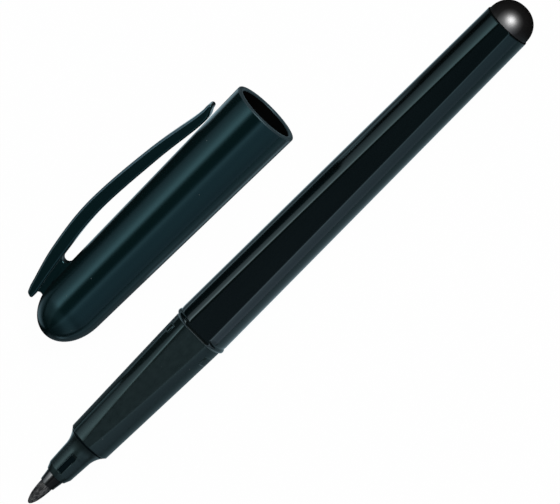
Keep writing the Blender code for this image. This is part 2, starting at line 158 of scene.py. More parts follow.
# Rounded edges and ends
FLAT_EDGE = 1.15 * MM
FLAT_RUNOUT = 0.9 * MM
LIP_ROUND = 0.6 * MM
LIP_STEPS = 14
LIP_CLEAR = 0.02 * MM
LIP_GROOVE = 0.06 * MM
LIP_GROOVE_WIDTH = 0.35 * MM
# Width of the band at the lip's front that gets a painted highlight
LIP_HIGHLIGHT_WIDTH = 0.15 * MM
LIP_RIDGE = 0.08 * MM
LIP_RIDGE_WIDTH = 0.6 * MM
SMALL_ROUND = 0.12 * MM
TINY_ROUND = 0.05 * MM
NIB_FULLNESS = 1.95
PLUG_FULLNESS = 2.15
CAP_FULLNESS = 2.04

# Vents in the nozzle, nubs on the grip, and the band of painted shade in the crease in front of it
VENT_LENGTH = 4.35 * MM
VENT_WIDTH = 1.2 * MM
VENT_DEPTH = 0.3 * MM
VENT_STATIONS = 26
NUB_LENGTH = 1.9 * MM
NUB_WIDTH = 1.8 * MM
NUB_SETBACK = 1.5 * MM
NUB_HEIGHT = 0.26 * MM
NUB_STATIONS = 16
CREASE_WIDTH = 0.5 * MM
CREASE_CLEAR = 0.1 * MM
PATCH_EDGE = 0.2 * MM
PATCH_INSIDE = 0.1
GRIP_STATIONS = 24

# Fibres of the nib
NIB_ROUGHNESS = 0.035 * MM
NIB_LUMP = 0.55 * MM

# Cap
CAP_MOUTH_RADIUS = 6.66 * MM
CAP_END_RADIUS = 5.68 * MM
CAP_WALL = 1.06 * MM
CAP_DOME_LENGTH = 8.0 * MM
CAP_TAPER_LENGTH = 50.8 * MM
CAP_FLOOR = 48.55 * MM
CAP_POCKET_RADIUS = 3.0 * MM
CAP_POCKET_WALL = 1.4 * MM
CAP_RIM_ROUND = 0.34 * MM
FLOOR_FACING = 0.9
CAP_DOME_START = CAP_LENGTH - CAP_DOME_LENGTH
SEAL_MOUTH = 31.8 * MM
SEAL_FLOOR = 47.25 * MM
SEAL_BACK = 48.25 * MM
SEAL_BORE = 3.0 * MM
SEAL_WALL = 0.6 * MM
SEAL_FLANGE_LENGTH = 3.0 * MM

# Pocket clip: places from the mouth, and heights of its inner and outer edge above the cap's side
CLIP_TIP = 5.65 * MM
CLIP_TOE = 9.2 * MM
CLIP_FOOT_SETBACK = 4.8 * MM
CLIP_FOOT_LENGTH = 8.0 * MM
CLIP_TAIL_LENGTH = 1.7 * MM
CLIP_FOOT_REAR = CAP_LENGTH - CLIP_FOOT_SETBACK
CLIP_FOOT_FRONT = CLIP_FOOT_REAR - CLIP_FOOT_LENGTH
CLIP_TAIL = CLIP_FOOT_REAR + CLIP_TAIL_LENGTH
CLIP_WIDTH = 4.4 * MM
CLIP_WEB_WIDTH = 3.2 * MM
CLIP_BOW_SHARE = 0.7
CLIP_WAIST_SHARE = 0.3
CLIP_TAIL_EDGES = (0.5 * MM, 1.75 * MM)
CLIP_TAIL_SLANT = 0.4 * MM
CLIP_TAIL_ROUNDS = (0.37 * MM, 0.75 * MM)
CLIP_REAR_EDGES = (0.6 * MM, 2.26 * MM)
CLIP_FRONT_EDGES = (1.75 * MM, 4.2 * MM)
CLIP_BOW_EDGES = (2.55 * MM, 5.15 * MM)
CLIP_WAIST_EDGES = (1.45 * MM, 3.85 * MM)
CLIP_TOE_EDGES = (0.1 * MM, 1.95 * MM)
CLIP_TIP_EDGES = (0.74 * MM, 1.74 * MM)
CLIP_STEPS = 12
CLIP_END_STEPS = 8
CLIP_ROUND = 0.36 * MM
CLIP_ROUND_STEPS = 3
EDGE_FACING = 0.2
WEB_SINK = 0.25 * MM
WEB_OVERHANG = 0.5 * MM
WEB_REAR = CLIP_FOOT_REAR + WEB_OVERHANG
WEB_REAR_SINK = 0.85 * MM
WEB_ROUND = 0.08 * MM
CLIP_FLEX_LENGTH = 16.0 * MM

# Camera, as the photograph frames the pair
PIXEL = 0.1803 * MM
IMAGE_WIDTH = 560
CAMERA_LENS = 1500.0
SENSOR_WIDTH = 36.0
CAMERA_TILT = math.radians(11.5)
CAMERA_TURN = math.radians(44.88)
CAMERA_AIM = (64.1 * MM, 0.01 * MM, 0.0)

# Studio light: colour of the surroundings by their angle from overhead, the cap's side positive
STUDIO = (
    (-90, (0.30, 0.34, 0.40)),
    (-75, (0.25, 0.29, 0.35)),
    (-62, (0.32, 0.36, 0.42)),
    (-50, (0.36, 0.40, 0.47)),
    (-36, (0.35, 0.39, 0.46)),
    (-26, (0.42, 0.46, 0.54)),
    (-20, (0.54, 0.58, 0.66)),
    (-14, (0.86, 0.92, 1.00)),
    (-6, (0.22, 0.25, 0.29)),
    (-1, (0.02, 0.03, 0.04)),
    (6, (0.01, 0.02, 0.02)),
    (26, (0.02, 0.03, 0.03)),
    (33, (0.80, 0.86, 0.88)),
    (39, (1.98, 2.10, 2.14)),
    (45, (1.80, 1.90, 1.94)),
    (52, (1.34, 1.42, 1.46)),
    (60, (0.82, 0.89, 0.93)),
    (70, (0.58, 0.63, 0.67)),
    (80, (0.37, 0.41, 0.45)),
    (90, (0.22, 0.25, 0.28)),
)
# How much of that light there is towards the pen's two ends, from the nib to the plug, by the side
CAP_SIDE_ENDS = (
    (-1.0, 0.05), (-0.75, 0.1), (-0.6, 0.15), (-0.5, 0.6), (-0.44, 1.1),
    (-0.34, 1.0), (-0.14, 0.95), (-0.02, 0.1), (1.0, 0.03),
)
FAR_SIDE_ENDS = (
    (-1.0, 0.1), (-0.85, 0.3), (-0.7, 0.7), (-0.55, 0.8), (-0.44, 0.7), (-0.36, 1.0),
    (-0.25, 1.0), (-0.2, 1.45), (-0.14, 1.45), (-0.02, 0.1), (1.0, 0.03),
)
# A small fill of one colour from beyond the nib, by the same measure
FILL_ENDS = ((-1.0, 0.0), (-0.86, 0.05), (-0.76, 0.22), (-0.6, 0.22), (-0.5, 0.0))
FILL_COLOUR = (0.78, 0.95, 1.0, 1.0)
KEY_ASIDE = math.radians(4)
KEY_TILT = math.radians(34.0)
KEY_DISTANCE = 0.8
KEY_SIZE = 0.3
KEY_POWER = 5.0
FLOOR_SIZE = 3.0
FLOOR_DROP = 0.02 * MM
FLOOR_PALE = 0.7
FLOOR_WHITE = 0.985

# Pale cards under the pair that gloss shows, each by its strength along and across, in mm
CARD_TINT = (0.62, 0.88, 1.0)
PEN_CARD = (
    ((-66, 0.1), (-59, 1.0), (57, 1.0), (58.5, 0.0)),
    ((-100, 0.3), (-30, 0.33), (-22, 0.4), (-18, 0.4), (-16, 0.24), (-7.2, 0.24), (-3.5, 0.13),
     (4, 0.13), (6, 0.0)),
)
BARREL_CARD = (
    ((-22, 0.0), (-20, 1.0), (57, 1.0), (58.5, 0.0)),
    ((-8.2, 0.0), (-7.2, 0.46), (-5, 0.4), (-3.5, 0.0)),
)
NOZZLE_CARD = (
    ((-66, 0.1), (-60, 1.0), (-52, 1.0), (-50, 0.0)),
    ((-11.5, 0.0), (-10.5, 0.5), (-5, 0.5), (-3, 0.0)),
)
CAP_CARD = (
    ((-39, 0.0), (-36.5, 1.0), (32, 1.0), (38, 0.0)),
    ((1, 0.0), (3, 0.38), (12, 0.38), (12.8, 0.0)),
)
SIDE_CARD = (
    ((-25.5, 0.0), (-24, 1.0), (9, 1.0), (12, 0.0)),
    ((12, 0.0), (12.8, 0.7), (16.5, 0.6), (18.5, 0.0)),
)
MOUTH_CARD = (
    ((4, 0.0), (7, 1.0), (20, 1.0), (24, 0.0)),
    ((15.5, 0.0), (16.5, 0.9), (21, 0.9), (24, 0.0)),
)
DOME_CARD = (
    ((-75, 0.0), (-65, 0.8), (-52, 1.2), (-44, 1.2), (-41.5, 0.7), (-39.5, 0.0)),
    ((12, 0.0), (14, 0.55), (20, 0.5), (26, 0.24), (60, 0.15)),
)
CARDS = (PEN_CARD, BARREL_CARD, NOZZLE_CARD, CAP_CARD, SIDE_CARD, MOUTH_CARD, DOME_CARD)
PLACE_REACH = 100

# Dust, and the barrel's clear gloss at its two ends
DUST_COLOUR = (0.07, 0.08, 0.08)
COAT_FRONT = 1.0
COAT_REAR = 0.1
BARREL_GLOSS = 0.15

# How smooth the grip and the holder are by the side, in mm from their axis towards the cap
SIDE_REACH = 6.0
GRIP_POLISH = ((1.9, 0.0), (2.7, 1.0))
GRIP_GLOSS = 0.16
HOLDER_POLISH = ((0.1, 0.0), (0.5, 1.0), (1.1, 1.0), (1.5, 0.0))
HOLDER_IOR = 2.5
HOLDER_GLOSS = 0.24

# How strong the painted highlight along the clip's outer edge is, by the place in mm
EDGE_PAINTED_HIGHLIGHT = ((-32, 0.15), (-8, 1.0))

# Polish on the plug's crown: its middle, on the dome above the axis, and its reach
CROWN_PLACE = 1.5 * MM
CROWN_ASIDE = 0.15 * MM
CROWN_REACH = 2.65 * MM
CROWN_IOR = 2.8
CROWN_ROUGHNESS = 0.47

# Sockets of a Mix node that mixes colours
MIX_FACTOR = 0
MIX_A = 6
MIX_B = 7
MIX_COLOUR = 2


class Wire:
    """An output socket of a node tree. Arithmetic on it adds Math nodes to the tree."""

    def __init__(self, socket):
        self.socket = socket

    @staticmethod
    def node(tree, kind, settings, inputs, output=0):
        """Add a node: its settings first, then the values or links of its sockets."""
        made = tree.nodes.new(kind)
        for name, value in settings.items():
            if name == "stops":
                set_stops(made.color_ramp, value)
            else:
                setattr(made, name, value)
        for key, value in inputs.items():
            if isinstance(value, Wire):
                tree.links.new(value.socket, made.inputs[key])
            else:
                made.inputs[key].default_value = value
        return Wire(made.outputs[output])

    def math(self, operation, first, second):
        inputs = {0: first, 1: second}
        return Wire.node(self.socket.id_data, 'ShaderNodeMath', {"operation": operation}, inputs)

    def __add__(self, other):
        return self.math('ADD', self, other)

    def __radd__(self, other):
        return self.math('ADD', other, self)

    def __sub__(self, other):
        return self.math('SUBTRACT', self, other)

    def __rsub__(self, other):
        return self.math('SUBTRACT', other, self)

    def __mul__(self, other):
        return self.math('MULTIPLY', self, other)

    def __rmul__(self, other):
        return self.math('MULTIPLY', other, self)

    def __lt__(self, other):
        return self.math('LESS_THAN', self, other)

    def __gt__(self, other):
        return self.math('GREATER_THAN', self, other)


def set_stops(ramp, stops):
    """Give a ramp its stops, as pairs of a position and a grey value or a colour."""
    while len(ramp.elements) > 1:
        ramp.elements.remove(ramp.elements[-1])
    for index, (position, value) in enumerate(stops):
        stop = ramp.elements[0] if index == 0 else ramp.elements.new(position)
        stop.position = position
        stop.color = (*value, 1.0) if isinstance(value, tuple) else (value, value, value, 1.0)


def rounded(profile):
    """Points of an outline of (place, radius, round) corners, each round one turned into an arc."""
    corners = [(Vector(corner[:2]), corner[2] if len(corner) > 2 else 0.0) for corner in profile]
    line = [corners[0][0]]
    for (before, _), (corner, size), (after, _) in zip(corners, corners[1:], corners[2:]):
        if size == 0.0:
            line.append(corner)
            continue
        back = (before - corner).normalized()
        onward = (after - corner).normalized()
        half = back.angle(onward) / 2
        start = back * size / math.tan(half)
        centre = (back + onward).normalized() * size / math.sin(half)
        turn = math.pi - 2 * half
        if back.cross(onward) > 0:
            turn = -turn
        for step in range(FILLET_STEPS + 1):
            swing = Matrix.Rotation(turn * step / FILLET_STEPS, 2)
            line.append(corner + centre + swing @ (start - centre))
    line.append(corners[-1][0])
    return line


def between(start, end, count):
    """Points that divide a straight stretch evenly, without its ends."""
    return [tuple(Vector(start).lerp(Vector(end), step / count)) for step in range(1, count)]


def stations(start, end):
    """Points along a straight side, with one close to each end, so that its shading stays even."""
    first, last = Vector(start), Vector(end)
    close = (last - first).normalized() * END_SUPPORT
    inner = (first + close, last - close)
    return [tuple(inner[0]), *between(*inner, SIDE_STATIONS), tuple(inner[1])]


def dome(start, radius, length, fullness):
    """Points of a rounded end from its rim to its apex on the axis, without the rim itself."""
    points = []
    for step in range(1, DOME_STEPS + 1):
        turn = math.pi / 2 * step / DOME_STEPS
        along = length * math.sin(turn) ** (2 / fullness)
        across = radius * max(math.cos(turn), 0.0) ** (2 / fullness)
        points.append((start + along, across if step < DOME_STEPS else 0.0))
    return points


def turned(profile, ring=True):
    """Spin a profile of (place, radius) points around the X axis; a ring profile closes on itself."""
    shape = bmesh.new()
    points = [shape.verts.new((place, 0.0, radius)) for place, radius in profile]
    pairs = list(zip(points, points[1:]))
    if ring:
        pairs.append((points[-1], points[0]))
    lines = [shape.edges.new(pair) for pair in pairs]
    bmesh.ops.spin(shape, geom=points + lines, axis=(1, 0, 0), cent=(0, 0, 0),
                   angle=math.tau, steps=AROUND, use_merge=True)
    bmesh.ops.remove_doubles(shape, verts=shape.verts, dist=MERGE)
    bmesh.ops.recalc_face_normals(shape, faces=shape.faces)
    return shape


def step_around(point):
    """How many steps a turned point is around the axis from the top."""
    return round(math.atan2(point.y, point.z) / math.tau * AROUND) % AROUND


def flat_section(radius, height, step):
    """Where a step of a half sector lies, across and up, on a round that is cut flat at a height."""
    even = math.pi / FLATS * step / HALF_SECTOR
    past_edge = step - FLAT_STEPS - EDGE_STEPS
    if radius <= height:
        gathered = math.pi / FLATS * max(past_edge, 0) / ARC_STEPS
        share = max(0.0, 1 - (height - radius) / FLAT_RUNOUT)
        turn = even + (gathered - even) * share
        return radius * math.sin(turn), radius * math.cos(turn)
    edge = math.sqrt((radius - FLAT_EDGE) ** 2 - (height - FLAT_EDGE) ** 2)
    lean = math.atan2(edge, height - FLAT_EDGE)
    if step < FLAT_STEPS:
        return edge * FLAT_SUPPORT * step / (FLAT_STEPS - 1), height
    if past_edge <= 0:
        turn = lean * (step - FLAT_STEPS) / EDGE_STEPS
        return edge + FLAT_EDGE * math.sin(turn), height - FLAT_EDGE * (1 - math.cos(turn))
    turn = lean + (math.pi / FLATS - lean) * past_edge / ARC_STEPS
    return radius * math.sin(turn), radius * math.cos(turn)


def press_flats(shape, height_at):
    """Press three flats with rounded edges into a turned shape, at a height for each place."""
    for vertex in shape.verts:
        radius = math.hypot(vertex.co.y, vertex.co.z)
        if radius < MERGE:
            continue
        step = step_around(vertex.co)
        sector = round(step / (2 * HALF_SECTOR))
        offset = step - 2 * HALF_SECTOR * sector
        across, up = flat_section(radius, height_at(vertex.co.x), abs(offset))
        flat = Vector((math.copysign(across, offset), up))
        turn = math.tau * sector / FLATS
        vertex.co.y = flat.x * math.cos(turn) + flat.y * math.sin(turn)
        vertex.co.z = flat.y * math.cos(turn) - flat.x * math.sin(turn)


def patch_depth(along, across, half_length, half_width, edge):
    """How far a point is inside a patch with a sloping edge: 0 outside, 1 on its even middle."""
    inside = min(half_length - abs(along), half_width - abs(across)) / edge
    share = min(max(inside, 0.0), 1.0)
    return share * share * (3 - 2 * share)


def emboss(shape, first, last, above, middles, width, height):
    """Raise or sink a patch between two places, around some turns; returns the points inside it."""
    inside = set()
    for vertex in shape.verts:
        spot = vertex.co
        radius = math.hypot(spot.y, spot.z)
        if not first <= spot.x <= last or radius < above:
            continue
        turn = math.atan2(spot.y, spot.z)
        for middle in middles:
            across = radius * math.sin(turn - middle) if math.cos(turn - middle) > 0 else width
            along = spot.x - (first + last) / 2
            share = patch_depth(along, across, (last - first) / 2, width / 2, PATCH_EDGE)
            spot.y += math.sin(turn) * height * share
            spot.z += math.cos(turn) * height * share
            if share > PATCH_INSIDE:
                inside.add(vertex)
    return inside


def add_piece(name, shape, group, finishes):
    """Make an object of a shape in its group's frame, smooth but for its wide flat faces."""
    bmesh.ops.transform(shape, matrix=group, verts=shape.verts)
    mesh = bpy.data.meshes.new(name)
    shape.to_mesh(mesh)
    shape.free()
    mesh.shade_smooth()
    mesh.set_sharp_from_angle(angle=SHARP_ANGLE)
    for face in mesh.polygons:
        face.use_smooth = len(face.vertices) <= 4
    for finish in finishes:
        mesh.materials.append(finish)
    made = bpy.data.objects.new(name, mesh)
    bpy.context.scene.collection.objects.link(made)
    return made


def ride_pen(piece):
    """Put a piece on the pen; the cap doesn't mirror the pen, which the photograph shows apart."""
    piece.visible_glossy = False
    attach(piece, "pen")


def lip_bead():
    """Round of the lip's bead, from its front face over its top and down to the barrel behind it."""
    drop = LIP_RADIUS - LIP_CLEAR - LIP_ROUND
    end = math.pi - math.asin((BARREL_FRONT_RADIUS - LIP_GROOVE - drop) / LIP_ROUND)
    points = []
    for step in range(LIP_STEPS + 1):
        turn = end * step / LIP_STEPS
        along = LIP_ROUND * (1 - math.cos(turn))
        points.append((LIP_FRONT + along, drop + LIP_ROUND * math.sin(turn)))
    return points


def barrel_flat(place):
    """Height of the barrel's flats at a place; the lip stands over them as a low ridge."""
    share = (place - LIP_FRONT) / (BARREL_REAR - LIP_FRONT)
    sink = FLAT_FRONT_SINK + (FLAT_REAR_SINK - FLAT_FRONT_SINK) * share
    fade = min(max((place - LIP_FRONT) / LIP_RIDGE_WIDTH, 0.0), 1.0)
    return BARREL_FLAT - sink + LIP_RIDGE * (1 - fade * fade * (3 - 2 * fade))


def make_barrel(finish, edge):
    bead = lip_bead()
    side = (bead[-1][0] + LIP_GROOVE_WIDTH, BARREL_FRONT_RADIUS)
    rear = (BARREL_REAR, BARREL_REAR_RADIUS)
    profile = rounded([
        (LIP_FRONT, BARREL_BORE),
        *bead,
        side,
        *stations(side, rear),
        (*rear, SMALL_ROUND),
        (BARREL_REAR, BARREL_BORE),
    ])
    shape = turned(profile)
    press_flats(shape, barrel_flat)
    # The lip's front band gets a painted highlight, a paler colour for the light line on its edge.
    for face in shape.faces:
        face.material_index = int(face.calc_center_median().x < LIP_FRONT + LIP_HIGHLIGHT_WIDTH)
    made = add_piece("moulded_barrel", shape, PEN, [finish, edge])
    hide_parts("barrel")
    ride_pen(made)


def shoulder_curve():
    """Concave arc from the nozzle, tangent to it, out to the grip's front edge."""
    rise = SHOULDER_RADIUS - NOZZLE_REAR_RADIUS
    arc = (SHOULDER_LENGTH ** 2 + rise ** 2) / (2 * rise)
    points = []
    for step in range(DOME_STEPS):
        along = SHOULDER_LENGTH * step / DOME_STEPS
        outward = arc - math.sqrt(arc ** 2 - along ** 2)
        points.append((SHOULDER_FRONT + along, NOZZLE_REAR_RADIUS + outward))
    return points


def grip_flat(place):
    """Height of the grip's flats above the axis at a place."""
    share = (place - GRIP_FRONT) / (GRIP_REAR - GRIP_FRONT)
    return GRIP_FRONT_FLAT + (GRIP_REAR_FLAT - GRIP_FRONT_FLAT) * share


def grip_side():
    """Points along the grip's cone, with the ends of the nubs among them."""
    front = Vector((GRIP_FRONT, SHOULDER_RADIUS))
    rear = Vector((GRIP_REAR, GRIP_REAR_RADIUS))
    nub_rear = front.lerp(rear, (GRIP_REAR - NUB_SETBACK - GRIP_FRONT) / (GRIP_REAR - GRIP_FRONT))
    nub_front = front.lerp(rear, (nub_rear.x - NUB_LENGTH - GRIP_FRONT) / (GRIP_REAR - GRIP_FRONT))
    along = between(front, nub_front, GRIP_STATIONS)
    return [*along, tuple(nub_front), *between(nub_front, nub_rear, NUB_STATIONS), tuple(nub_rear)]


def make_grip(finish, vent):
    vent_front = NOZZLE_FRONT + NOZZLE_CHAMFER
    vent_rear = vent_front + VENT_LENGTH
    vent_share = VENT_LENGTH / (NOZZLE_LENGTH - NOZZLE_CHAMFER)
    vent_radius = NOZZLE_FRONT_RADIUS + (NOZZLE_REAR_RADIUS - NOZZLE_FRONT_RADIUS) * vent_share
    profile = rounded([
        (CHAMBER_FRONT, NOZZLE_BORE),
        (NOZZLE_FRONT, NOZZLE_BORE),
        (NOZZLE_FRONT, NOZZLE_BORE + NOZZLE_EDGE, TINY_ROUND),
        (vent_front, NOZZLE_FRONT_RADIUS, SMALL_ROUND),
        *between((vent_front, NOZZLE_FRONT_RADIUS), (vent_rear, vent_radius), VENT_STATIONS),
        (vent_rear, vent_radius),
        *shoulder_curve(),
        (GRIP_FRONT, SHOULDER_RADIUS, SMALL_ROUND),
        *grip_side(),
        (GRIP_REAR, GRIP_REAR_RADIUS, SMALL_ROUND),
        (GRIP_REAR, SPIGOT_RADIUS),
        (SPIGOT_REAR, SPIGOT_RADIUS, SMALL_ROUND),
        (SPIGOT_REAR, CHAMBER_RADIUS),
        (CHAMBER_FRONT, CHAMBER_RADIUS),
    ])
    shape = turned(profile)
    press_flats(shape, grip_flat)
    flats = [math.tau * index / FLATS for index in range(FLATS)]
    corners = [flat + math.pi / FLATS for flat in flats]
    nub_rear = GRIP_REAR - NUB_SETBACK
    above = NOZZLE_FRONT_RADIUS - PATCH_EDGE
    sunk = emboss(shape, vent_front, vent_rear, above, flats, VENT_WIDTH, -VENT_DEPTH)
    # The vent's floor and a band of the crease in front of the grip get painted shade, a near-black colour for the
    # shadow in them.
    for face in shape.faces:
        middle = face.calc_center_median().x
        crease = GRIP_FRONT - CREASE_WIDTH < middle < GRIP_FRONT - CREASE_CLEAR
        face.material_index = int(sunk.issuperset(face.verts) or (crease and face.normal.x < 0))
    nub_front = nub_rear - NUB_LENGTH
    emboss(shape, nub_front, nub_rear, SPIGOT_RADIUS + PATCH_EDGE, corners, NUB_WIDTH, NUB_HEIGHT)
    made = add_piece("moulded_grip", shape, PEN, [finish, vent])
    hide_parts("grip_section")
    ride_pen(made)


def make_holder(finish):
    profile = rounded([
        (HOLDER_REAR, HOLDER_BORE),
        (HOLDER_FRONT, HOLDER_BORE),
        (HOLDER_FRONT, HOLDER_BORE + HOLDER_LIP, TINY_ROUND),
        (NOZZLE_FRONT, HOLDER_RADIUS, TINY_ROUND),
        (HOLDER_REAR, HOLDER_RADIUS),
    ])
    made = add_piece("turned_nib_holder", turned(profile), PEN, [finish])
    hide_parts("nib_holder")
    ride_pen(made)


def make_nib(finish):
    """A bullet of bonded fibre; its point is roughened along the fibres and stays inside its round."""
    point = dome(0.0, NIB_RADIUS, HOLDER_FRONT, NIB_FULLNESS)
    profile = [(HOLDER_FRONT - along, across) for along, across in reversed(point)]
    profile += [(HOLDER_FRONT, NIB_RADIUS), (NIB_REAR, NIB_RADIUS), (NIB_REAR, 0.0)]
    shape = turned(profile, ring=False)
    for vertex in shape.verts:
        spot = vertex.co
        ahead = min(max((HOLDER_FRONT - spot.x) / HOLDER_FRONT, 0.0), 1.0)
        lump = noise.noise(Vector((spot.x / (4 * NIB_LUMP), spot.y / NIB_LUMP, spot.z / NIB_LUMP)))
        inward = NIB_ROUGHNESS * ahead * (1 + lump)
        radius = math.hypot(spot.y, spot.z)
        if radius > inward:
            spot.y *= 1 - inward / radius
            spot.z *= 1 - inward / radius
    made = add_piece("fibre_nib", shape, PEN, [finish])
    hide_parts("nib")
    ride_pen(made)


def make_plug(finish):
    stop = PLUG_BASE - PLUG_STOP
    profile = rounded([
        (PLUG_BASE, 0.0),
        (PLUG_BASE, PLUG_BORE),
        (stop, PLUG_BORE),
        (stop, CHAMBER_RADIUS),
        (PLUG_FRONT, CHAMBER_RADIUS),
        (PLUG_FRONT, SPIGOT_RADIUS, SMALL_ROUND),
        (PLUG_BASE, SPIGOT_RADIUS),
        (PLUG_BASE, PLUG_RADIUS),
        *dome(PLUG_BASE, PLUG_RADIUS, PLUG_LENGTH, PLUG_FULLNESS),
    ])
    made = add_piece("polished_plug", turned(profile, ring=False), PEN, [finish])
    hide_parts("rear_plug")
    ride_pen(made)


def cap_radius(place):
    """Outer radius of the cap's tapering side at a distance from its mouth."""
    return CAP_MOUTH_RADIUS + (CAP_END_RADIUS - CAP_MOUTH_RADIUS) * place / CAP_TAPER_LENGTH


def cap_bore(place):
    """Radius of the cap's inside at a distance from its mouth."""
    return cap_radius(place) - CAP_WALL


def make_cap(finish, bore, rim):
    pocket_end = CAP_LENGTH - CAP_POCKET_WALL
    shoulder = (CAP_DOME_START, cap_radius(CAP_DOME_START))
    inner_rim = (0.0, cap_bore(0.0))
    bore_end = (CAP_FLOOR, cap_bore(CAP_FLOOR))
    outside = [
        shoulder,
        *stations(shoulder, (0.0, CAP_MOUTH_RADIUS)),
        (0.0, CAP_MOUTH_RADIUS, CAP_RIM_ROUND),
        (*inner_rim, CAP_RIM_ROUND),
        *stations(inner_rim, bore_end),
        (*bore_end, SMALL_ROUND),
        (CAP_FLOOR, CAP_POCKET_RADIUS),
        (CAP_TAPER_LENGTH, CAP_POCKET_RADIUS),
        (pocket_end, CAP_POCKET_RADIUS / 2),
        (pocket_end, 0.0),
    ]
    end = dome(CAP_DOME_START, cap_radius(CAP_DOME_START), CAP_DOME_LENGTH, CAP_FULLNESS)
    profile = rounded([*reversed(end), *outside])
    shape = turned([(-place, radius) for place, radius in profile], ring=False)
    # Faces inside the cap get painted shade, a near-black colour for the shadow in its bore.
    for face in shape.faces:
        middle = face.calc_center_median()
        inward = face.normal.y * middle.y + face.normal.z * middle.z < 0 or face.normal.x > FLOOR_FACING
        # The rim's faces get a paler colour, a painted highlight on the rim.
        if middle.x > -CAP_RIM_ROUND:
            face.material_index = 2
        elif inward:
            face.material_index = 1
    made = add_piece("moulded_cap", shape, CAP, [finish, bore, rim])
    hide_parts("cap_shell")
    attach(made, "cap")


def make_seal(finish):
    """A thimble that closes over the nozzle, held in the cap's bore by its flange."""
    flange = SEAL_BACK - SEAL_FLANGE_LENGTH
    profile = rounded([
        (SEAL_FLOOR, 0.0),
        (SEAL_FLOOR, SEAL_BORE, SMALL_ROUND),
        (SEAL_MOUTH, SEAL_BORE, SMALL_ROUND),
        (SEAL_MOUTH, SEAL_BORE + SEAL_WALL, SMALL_ROUND),
        (flange, SEAL_BORE + SEAL_WALL),
        (flange, cap_bore(flange) - SEAM, SMALL_ROUND),
        (SEAL_BACK, cap_bore(SEAL_BACK) - SEAM),
        (SEAL_BACK, 0.0),
    ])
    shape = turned([(-place, radius) for place, radius in profile], ring=False)
    made = add_piece("soft_inner_seal", shape, CAP, [finish])
    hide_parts("inner_seal")
    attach(made, "cap")


def smooth_line(points):
    """A smooth line through a few points, as a Catmull-Rom curve."""
    known = [Vector(point) for point in points]
    known = [2 * known[0] - known[1], *known, 2 * known[-1] - known[-2]]
    line = []
    for before, start, end, after in zip(known, known[1:], known[2:], known[3:]):
        for step in range(CLIP_STEPS):
            t = step / CLIP_STEPS
            curve = 2 * start + (end - before) * t
            curve += (2 * before - 5 * start + 4 * end - after) * t ** 2
            curve += (3 * start - before - 3 * end + after) * t ** 3
            line.append(curve / 2)
    line.append(known[-2])
    return line


def above_cap(place, height):
    """A point of the clip's side view, across the cap from its axis."""
    return Vector((-place, cap_radius(place) + height))


def half_round(start, end):
    """Points of a half circle from one point to another, without them, to the left of the way."""
    centre = (start + end) / 2
    arm = start - centre
    turns = [math.pi * step / CLIP_END_STEPS for step in range(1, CLIP_END_STEPS)]
    return [centre + Matrix.Rotation(turn, 2) @ arm for turn in turns]


def clip_tail(outer, inner):
    """Slanting rear end of the strip from its outer edge to its inner one, with its corners rounded."""
    corner = above_cap(CLIP_TAIL - CLIP_TAIL_SLANT, CLIP_TAIL_EDGES[1])
    point = above_cap(CLIP_TAIL, CLIP_TAIL_EDGES[0])
    return rounded([outer, (*corner, CLIP_TAIL_ROUNDS[1]), (*point, CLIP_TAIL_ROUNDS[0]), inner])[1:-1]


def clip_outline():
    """Side view of the clip's strip, with a slanting tail and a tip rounded inside its length."""
    span = CLIP_FOOT_FRONT - CLIP_TOE
    tip_round = (CLIP_TIP_EDGES[1] - CLIP_TIP_EDGES[0]) / 2
    marks = [
        (CLIP_FOOT_REAR, CLIP_REAR_EDGES),
        (CLIP_FOOT_FRONT, CLIP_FRONT_EDGES),
        (CLIP_TOE + CLIP_BOW_SHARE * span, CLIP_BOW_EDGES),
        (CLIP_TOE + CLIP_WAIST_SHARE * span, CLIP_WAIST_EDGES),
        (CLIP_TOE, CLIP_TOE_EDGES),
        (CLIP_TIP + tip_round, CLIP_TIP_EDGES),
    ]
    inner = smooth_line([above_cap(place, edges[0]) for place, edges in marks])
    outer = smooth_line([above_cap(place, edges[1]) for place, edges in marks])
    tip = half_round(inner[-1], outer[-1])
    return inner + tip + outer[::-1] + clip_tail(outer[0], inner[0])


def drawn_in(outline, distance):
    """A closed outline moved towards its inside by a distance."""
    moved = []
    for number, point in enumerate(outline):
        before = outline[number - 1]
        after = outline[(number + 1) % len(outline)]
        along = (after - before).normalized()
        moved.append(point + distance * Vector((-along.y, along.x)))
    return moved


def turning(outline):
    """1 for an outline that runs anticlockwise, and -1 for one that runs clockwise."""
    area = sum(outline[number - 1].cross(point) for number, point in enumerate(outline))
    return math.copysign(1.0, area)


def slab(outline, width, edge):
    """Extrude a side view to a width along Z, with the edges of its two faces rounded."""
    half = [(0.0, width / 2 - 2 * edge)]
    for step in range(CLIP_ROUND_STEPS + 1):
        turn = math.pi / 2 * step / CLIP_ROUND_STEPS
        half.append((edge * (1 - math.cos(turn)), width / 2 - edge * (1 - math.sin(turn))))
    levels = [(inset, -height) for inset, height in reversed(half)] + half
    inwards = turning(outline)
    shape = bmesh.new()
    face = shape.faces.new([shape.verts.new((*point, 0.0)) for point in outline])
    for level, (inset, height) in enumerate(levels):
        if level > 0:
            raised = bmesh.ops.extrude_face_region(shape, geom=[face, *face.edges])["geom"]
            face = next(part for part in raised if isinstance(part, bmesh.types.BMFace))
        for vertex, point in zip(face.verts, drawn_in(outline, inwards * inset)):
            vertex.co = (*point, height)
    shape.normal_update()
    bmesh.ops.recalc_face_normals(shape, faces=shape.faces)
    return shape


